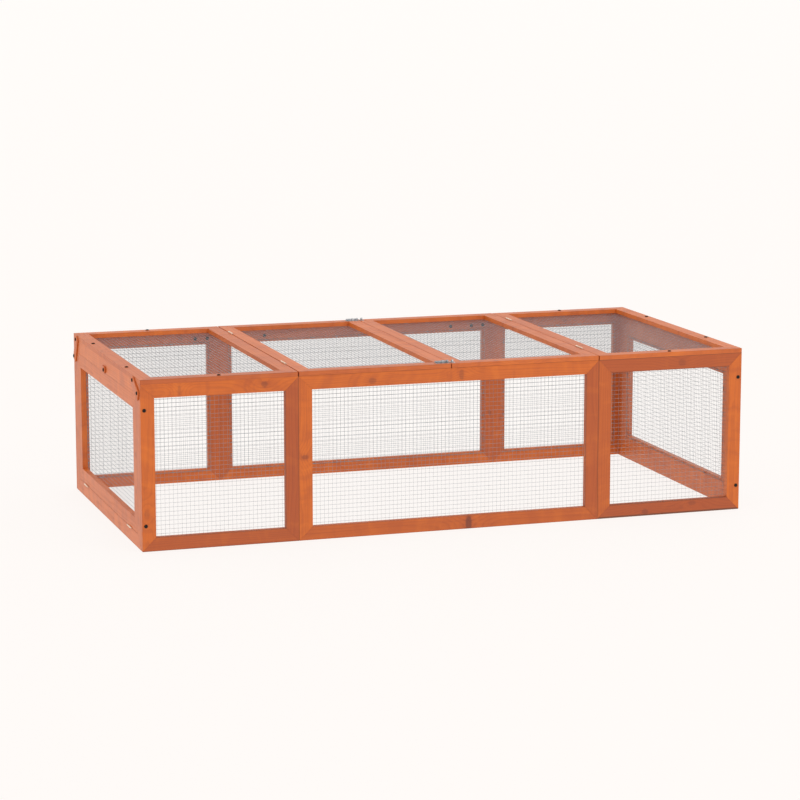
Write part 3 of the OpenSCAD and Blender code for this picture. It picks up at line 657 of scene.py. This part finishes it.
screwPlan = {"roofIn": 13, "roofY": 225, "roofLong": 31, "wallIn": 10.5, "wallUp": 72, "wallLong": 41,
             "seamNear": 38, "seamFar": 76, "lone": 145, "short": 12}
plank = {"length": 180, "height": 15, "thick": 2, "radius": 3, "ease": 0.4, "netLap": 10, "gap": 1}
joinZ = wallTop - hutch["rail"] + plank["netLap"] + plank["gap"] + plank["height"] / 2
outer = []
for sx in sides:
    for sy in sides:
        onRoof = ((sx * (endX - screwPlan["roofIn"]), sy * screwPlan["roofY"]),
                  (sx * (endX - hutch["sidePanel"] / 2), sy * (sideY - screwPlan["roofIn"])))
        outer += [((x, y, hutch["height"]), (0, 0, 1), screwPlan["roofLong"]) for x, y in onRoof]
        outer += [((sx * (endX - screwPlan["wallIn"]), sy * sideY, z), (0, sy, 0), screwPlan["wallLong"])
                  for z in (screwPlan["wallUp"], wallTop - screwPlan["wallUp"])]
screws("outerScrews", bigScrew, outer, "frame", ("outer_screws",))
inner, planks = [], []
for sx in sides:
    for sy in sides:
        face = sideY - hutch["wallThick"]
        for along in (-screwPlan["seamFar"], -screwPlan["seamNear"], screwPlan["seamNear"], screwPlan["seamFar"]):
            inner.append(((sx * seamX + along, sy * (face - plank["thick"]), joinZ), (0, -sy, 0), screwPlan["short"]))
        inner.append(((sx * (seamX - screwPlan["lone"]), sy * face, joinZ), (0, -sy, 0), screwPlan["short"]))
        corners, faces = flatPlate(plank["length"], plank["height"], plank["thick"], plank["radius"], plank["ease"])
        planks.append(placed((corners - (plank["length"] / 2, plank["height"] / 2, 0), faces),
                             ((1, 0, 0), (0, 0, 1), (0, -sy, 0)), (sx * seamX, sy * face, joinZ)))
screws("innerScrews", bigScrew, inner, "frame", ("inner_screws",))
piece("joiningPlates", *joined(planks), "frame", "plate_paint", ("joining_plates",), smooth=40)

# Turn button and corner plates: thin rounded boards
button = {"length": 44, "width": 20, "thick": 4.5, "radius": 9.98, "ease": 1.1, "tone": 0.3, "screwLong": 17,
          "gap": 0.4, "headGap": 0.3}
cornerPlate = {"length": 84, "width": 31, "thick": 4.5, "radius": 9, "ease": 1.0, "tone": 0.3, "screwLong": 16,
               "screwSpace": 62, "edgeIn": 10, "lowerIn": 21, "upperDrop": 11.5, "slopes": {-1: 27, 1: 62}}


# A flat plate of wood: look is one of the two dictionaries above, and the point origin of its plan goes to place
def thinBoard(look, origin, axes, place):
    length, width = look["length"], look["width"]
    corners, faces = flatPlate(length, width, look["thick"], look["radius"], look["ease"], steps=8)
    attributes = grainAt(corners, length, width, look["tone"], [])
    return *placed((corners - (*origin, 0), faces), axes, place), attributes


buttonZ = wallTop - hutch["rail"] + button["width"] / 2
buttonHalf = button["width"] / 2
buttonX = -endX - button["gap"]
buttonAxes = ((0, 1, 0), (0, 0, 1), (-1, 0, 0))
corners, faces, attributes = thinBoard(button, (buttonHalf, buttonHalf), buttonAxes, (buttonX, 0, buttonZ))
piece("turnButton", corners, faces, "turn_button", "plate_wood", ("turn_button",), attributes=attributes, smooth=50)
headPlace = (buttonX - button["thick"] - button["headGap"], 0, buttonZ)
screws("turnButtonScrew", bigScrew, [(headPlace, (-1, 0, 0), button["screwLong"])], "frame", ("turn_button_screw",))
boards, held = [], []
for side, slope in cornerPlate["slopes"].items():
    run, fall = math.cos(math.radians(slope)), math.sin(math.radians(slope))
    space = cornerPlate["screwSpace"]
    axes = np.array(((0, side * run, -fall), (0, side * fall, run), (-1, 0, 0)))
    upperY = side * (sideY - cornerPlate["lowerIn"] - space * run)
    place = np.array((-endX, upperY, hutch["height"] - cornerPlate["upperDrop"]))
    origin = ((cornerPlate["length"] - space) / 2, cornerPlate["width"] - cornerPlate["edgeIn"])
    boards.append(thinBoard(cornerPlate, origin, axes, place))
    for along in (0, space):
        held.append((tuple(place + axes[0] * along + axes[2] * cornerPlate["thick"]), (-1, 0, 0),
                     cornerPlate["screwLong"]))
piece("cornerPlates", *joined([b[:2] for b in boards]), "frame", "plate_wood", ("corner_plates",),
      attributes=joinedAttributes([b[2] for b in boards]), smooth=50)
screws("cornerScrews", bigScrew, held, "frame", ("corner_screws",))

# Barrel bolts: x along the rod from the gap between the lids, y towards the middle of the hutch, z up.
# tailEase and tipEase: how far in from the rod's radius and from its end; knob: radius and height over the axis;
# strapEase: radius of a strap's edges as a share of its thickness
bolt = {"plateStart": -42.5, "plateLong": 40, "plateWide": 22, "plateThick": 1.2, "plateRadius": 2, "plateEase": 0.3,
        "straps": (-24, -9), "strapLong": 5, "strapThick": 1.3, "strapClear": 0.05, "strapEase": 0.3,
        "hoopFoot": 0.6, "hoopSteps": 13,
        "keeperStart": 2.5, "keeperLong": 12, "keeperStrap": 6, "keeperThick": 1.0, "keeperClear": 0.4,
        "rod": 2.5, "rodZ": 4.1, "tail": -42.1, "tip": -2.5, "around": 28,
        "tailEase": ((0.6, 0), (0.15, 0.2), (0, 0.6)), "tipEase": ((0, 1.1), (0.3, 0.5), (1.0, 0)), "knobX": -40.1,
        "knob": ((0.9, 1.2), (1.1, 2.4), (1.05, 3.6), (1.25, 4.4), (1.75, 5.4), (1.95, 6.6), (1.85, 7.7), (1.4, 8.6),
                 (0.6, 9)),
        "screwX": (-39, -6), "keeperScrewX": (8.5,), "screwY": 7.45, "screwLong": 9}


# A strap bent over the rod: a rounded strip carried up one side, round a half circle and down the other
def hoop(start, thick, clear):
    outline = roundedOutline(bolt["strapLong"], thick, bolt["strapEase"] * thick, steps=2)[0]
    radius = bolt["rod"] + clear + thick / 2
    turn = np.linspace(math.pi, 0, bolt["hoopSteps"])
    y = np.concatenate([[-radius], radius * np.cos(turn), [radius]])
    z = np.concatenate([[bolt["hoopFoot"]], bolt["rodZ"] + radius * np.sin(turn), [bolt["hoopFoot"]]])
    out = np.column_stack([np.concatenate([[-1], np.cos(turn), [1]]), np.concatenate([[0], np.sin(turn), [0]])])
    through = outline[:, 1] - thick / 2
    x = np.broadcast_to(start + outline[:, 0], (len(y), len(outline)))
    corners = np.stack([x, y[:, None] + out[:, :1] * through, z[:, None] + out[:, 1:] * through], -1)
    return corners.reshape(-1, 3), [face[::-1] for face in ringFaces(len(y), len(outline))]


# A plate with its left edge at start, lengthwise under the rod
def boltPlate(start, long):
    corners, faces = flatPlate(long, bolt["plateWide"], bolt["plateThick"], bolt["plateRadius"], bolt["plateEase"])
    return corners + (start, -bolt["plateWide"] / 2, 0), faces


barrels, keepers, barrelScrews, keeperScrews = [], [], [], []
angles = np.arange(bolt["around"]) * 2 * math.pi / bolt["around"]
rodRows = [(bolt["rod"] - inset, bolt["tail"] + along) for inset, along in bolt["tailEase"]]
rodRows += [(bolt["rod"] - inset, bolt["tip"] - along) for inset, along in bolt["tipEase"]]
for side, rodName in ((-1, "front"), (1, "back")):
    axes = ((1, 0, 0), (0, -side, 0), (0, 0, 1))
    boltY = side * (sideY - hutch["rail"] / 2)
    base, axisZ = (0, boltY, lidTop), lidTop + bolt["rodZ"]
    barrels.append(placed(boltPlate(bolt["plateStart"], bolt["plateLong"]), axes, base))
    barrels += [placed(hoop(start, bolt["strapThick"], bolt["strapClear"]), axes, base) for start in bolt["straps"]]
    keepers.append(placed(boltPlate(bolt["keeperStart"], bolt["keeperLong"]), axes, base))
    keepers.append(placed(hoop(bolt["keeperStrap"], bolt["keeperThick"], bolt["keeperClear"]), axes, base))
    for found, places in ((barrelScrews, bolt["screwX"]), (keeperScrews, bolt["keeperScrewX"])):
        for sy in sides:
            found += [((x, boltY + sy * bolt["screwY"], lidTop + bolt["plateThick"]), (0, 0, 1), bolt["screwLong"])
                      for x in places]
    rod = placed(turned(rodRows, angles), ((0, 1, 0), (0, 0, 1), (1, 0, 0)), (0, boltY, axisZ))
    knob = placed(turned(bolt["knob"], angles[::2]), ((0, 0, 1), (1, 0, 0), (0, -side, 0)),
                  (bolt["knobX"], boltY, axisZ))
    piece(rodName + "BoltRod", *joined([rod, knob]), rodName + "_bolt", "bolt_steel", ("bolt_rod_" + rodName,),
          smooth=40)
piece("boltBarrels", *joined(barrels), "left_lid", "bolt_steel", ("bolt_barrels",), smooth=40)
piece("boltKeepers", *joined(keepers), "right_lid", "bolt_steel", ("bolt_keepers",), smooth=40)
screws("boltScrews", smallScrew, barrelScrews, "left_lid", ("bolt_screws",))
screws("keeperScrews", smallScrew, keeperScrews, "right_lid", ("keeper_screws",))

# Screws in the hinge leaves, hidden in the seams until a lid or the door opens
hinge = {"y": 295, "knuckle": 2.1, "knuckleGap": 0.4, "leaf": 0.7, "every": 15, "down": 7.8, "spare": 0.05,
         "screwLong": 9}


# Height of a hinge's axis over the boards beside it: the knuckle's clearance squared less half the gap squared,
# and the root of that
def axisRise(gap):
    return math.sqrt((hinge["knuckle"] + hinge["knuckleGap"]) ** 2 - (gap / 2) ** 2) + hinge["spare"]


lidHinge, doorHinge = hutch["lidHingeGap"], hutch["doorHingeGap"]
hingeSets = {  # name: axis place, direction from the fixed leaf to the moving one, direction into the wood, gap, body
    "leftLid": ((-seamX, lidTop + axisRise(lidHinge)), (1, 0, 0), (0, 0, -1), lidHinge, "left_lid"),
    "rightLid": ((seamX, lidTop + axisRise(lidHinge)), (-1, 0, 0), (0, 0, -1), lidHinge, "right_lid"),
    "door": ((-endX - axisRise(doorHinge), hutch["rail"] + doorHinge / 2), (0, 0, 1), (1, 0, 0), doorHinge, "end_door"),
}
for name, ((x, z), across, down, gap, body) in hingeSets.items():
    across, down = np.array(across, float), np.array(down, float)
    for half, rides in ((-1, "frame"), (1, body)):
        places = []
        for y in (-hinge["y"], hinge["y"]):
            for along in (-hinge["every"], 0, hinge["every"]):
                place = np.array((x, y + along, z)) + across * half * (gap / 2 - hinge["leaf"]) + down * hinge["down"]
                places.append((tuple(place), tuple(-half * across), hinge["screwLong"]))
        screws(name + ("Fixed" if half < 0 else "Moving") + "LeafScrews", leafScrew, places, rides)
print("screws, plates and bolts made")

staple = {"crown": 10, "wide": 1.2, "thick": 0.5, "leg": 1.6, "every": 76, "outside": 5, "sink": 0.1, "tilt": 0.05,
          "stray": 2.5}


# A staple over the border of a mesh: a flat strip along its crown, with both ends bent down into the wood
def stapleAt(middle, along, inward):
    half, wide, thick = staple["crown"] / 2, staple["wide"] / 2, staple["thick"]
    near = np.array([(-half, -staple["leg"]), (-half, 0), (half, 0), (half, -staple["leg"])])
    far = near + np.array([(-1, 0), (-1, 1), (1, 1), (1, 0)]) * thick
    rings = [np.column_stack([path[:, 0], np.full(len(path), y), path[:, 1]])
             for path, y in ((near, -wide), (far, -wide), (far, wide), (near, wide))]
    corners = np.stack(rings, 1).reshape(-1, 3)
    return placed((corners, ringFaces(4, 4)), (along, np.cross(inward, along), inward), middle)


staples = {}
for body, slot, (length, height, width, thick, corner, axes), gauge, *toneSets in panels.values():
    if not gauge:
        continue
    u, v, b = np.array(axes, float)
    top = thick + 2 * sum(wireLook["gauges"][gauge]) - staple["sink"]
    for size, other, along, across in ((length, height, u, v), (height, length, v, u)):
        opening = size - 2 * width
        count = max(2, round(opening / staple["every"]))
        for step in (np.arange(count) + 0.5) / count:
            for edge in (width - staple["outside"], other - width + staple["outside"]):
                tilt = rng.normal(0, staple["tilt"])
                forward = width + step * opening + rng.normal(0, staple["stray"])
                place = np.array(corner, float) + along * forward + across * edge + b * top
                crown = math.cos(tilt) * along + math.sin(tilt) * across
                staples.setdefault(body, []).append(stapleAt(place, crown, b))
for body, shapes in staples.items():
    piece(camel(body) + "Staples", *joined(shapes), body, "mesh", smooth=30)
print("staples made:", sum(map(len, staples.values())))

# The hinges keep their CAD shapes and take a zinc finish
slotOf = {row["node"]: row["material_slot"] for row in frame["record"]["subparts"]}
for name in ("left_lid", "right_lid", "door"):
    for part in ("base", "leaf", "pin"):
        node = name + "_hinge_" + part
        mesh = frame["nodes"][node].data
        mesh.materials.clear()
        mesh.materials.append(finishes[slotOf[node]])

# Camera: standing in front of the left end, looking down a little
view = {"place": (-2.5233, -7.6703, 1.7307), "yaw": 18.1705, "pitch": 10.0423, "lens": 123.33, "sensor": 36,
        "farthest": 400}
camera = bpy.data.objects.new("camera", bpy.data.cameras.new("camera"))
camera.data.lens = view["lens"]
camera.data.sensor_width = view["sensor"]
camera.data.clip_end = view["farthest"]
camera.location = view["place"]
camera.rotation_euler = (math.radians(90 - view["pitch"]), 0, math.radians(-view["yaw"]))
bpy.context.scene.collection.objects.link(camera)
bpy.context.scene.camera = camera

# Floor and studio light; each lamp has a place, a size and a power
studio = {"white": (1.0, 0.965, 0.94), "skyPower": 0.985, "floorShade": 0.08, "floorGlow": 0.90, "floorRough": 0.9,
          "floorShine": 0.1, "floorReach": 150, "floorDrop": 0.0006, "aim": (0, 0, 0.2),
          "lamps": {"keyLight": ((2.5, -4.5, 4.2), (2.6, 2.0), 55), "fillLight": ((-4.5, -2.5, 3.0), (2.4, 2.4), 12)}}
floorMesh = bpy.data.meshes.new("floor")
reach, drop = studio["floorReach"], studio["floorDrop"]
floorCorners = [(x * reach, y * reach, -drop) for x, y in ((-1, -1), (1, -1), (1, 1), (-1, 1))]
floorMesh.from_pydata(floorCorners, [], [(0, 1, 2, 3)])
floor = bpy.data.objects.new("floor", floorMesh)
bpy.context.scene.collection.objects.link(floor)
floorFinish = Finish("paleFloor", Roughness=studio["floorRough"], Specular_IOR_Level=studio["floorShine"],
                     Emission_Strength=studio["floorGlow"])
for socket, power in (("Base Color", studio["floorShade"]), ("Emission Color", 1)):
    floorFinish.shader.inputs[socket].default_value = (*(np.array(studio["white"]) * power), 1)
floorMesh.materials.append(floorFinish.material)

world = bpy.data.worlds.new("studio")
bpy.context.scene.world = world
world.use_nodes = True
sky = world.node_tree.nodes["Background"]
sky.inputs["Color"].default_value = (*studio["white"], 1)
sky.inputs["Strength"].default_value = studio["skyPower"]


# A rectangular lamp whose face is turned from its place towards aim
def softbox(name, place, aim, size, power):
    lamp = bpy.data.lights.new(name, "AREA")
    lamp.shape = "RECTANGLE"
    lamp.size, lamp.size_y, lamp.energy = size[0], size[1], power
    made = bpy.data.objects.new(name, lamp)
    made.location = place
    towards = np.array(aim, float) - np.array(place, float)
    flat = math.hypot(towards[0], towards[1])
    made.rotation_euler = (math.pi / 2 + math.atan2(towards[2], flat), 0, math.atan2(-towards[0], towards[1]))
    bpy.context.scene.collection.objects.link(made)


for name, (place, size, power) in studio["lamps"].items():
    softbox(name, place, studio["aim"], size, power)
bpy.context.scene.view_settings.view_transform = "Standard"
print("camera, floor and light set")
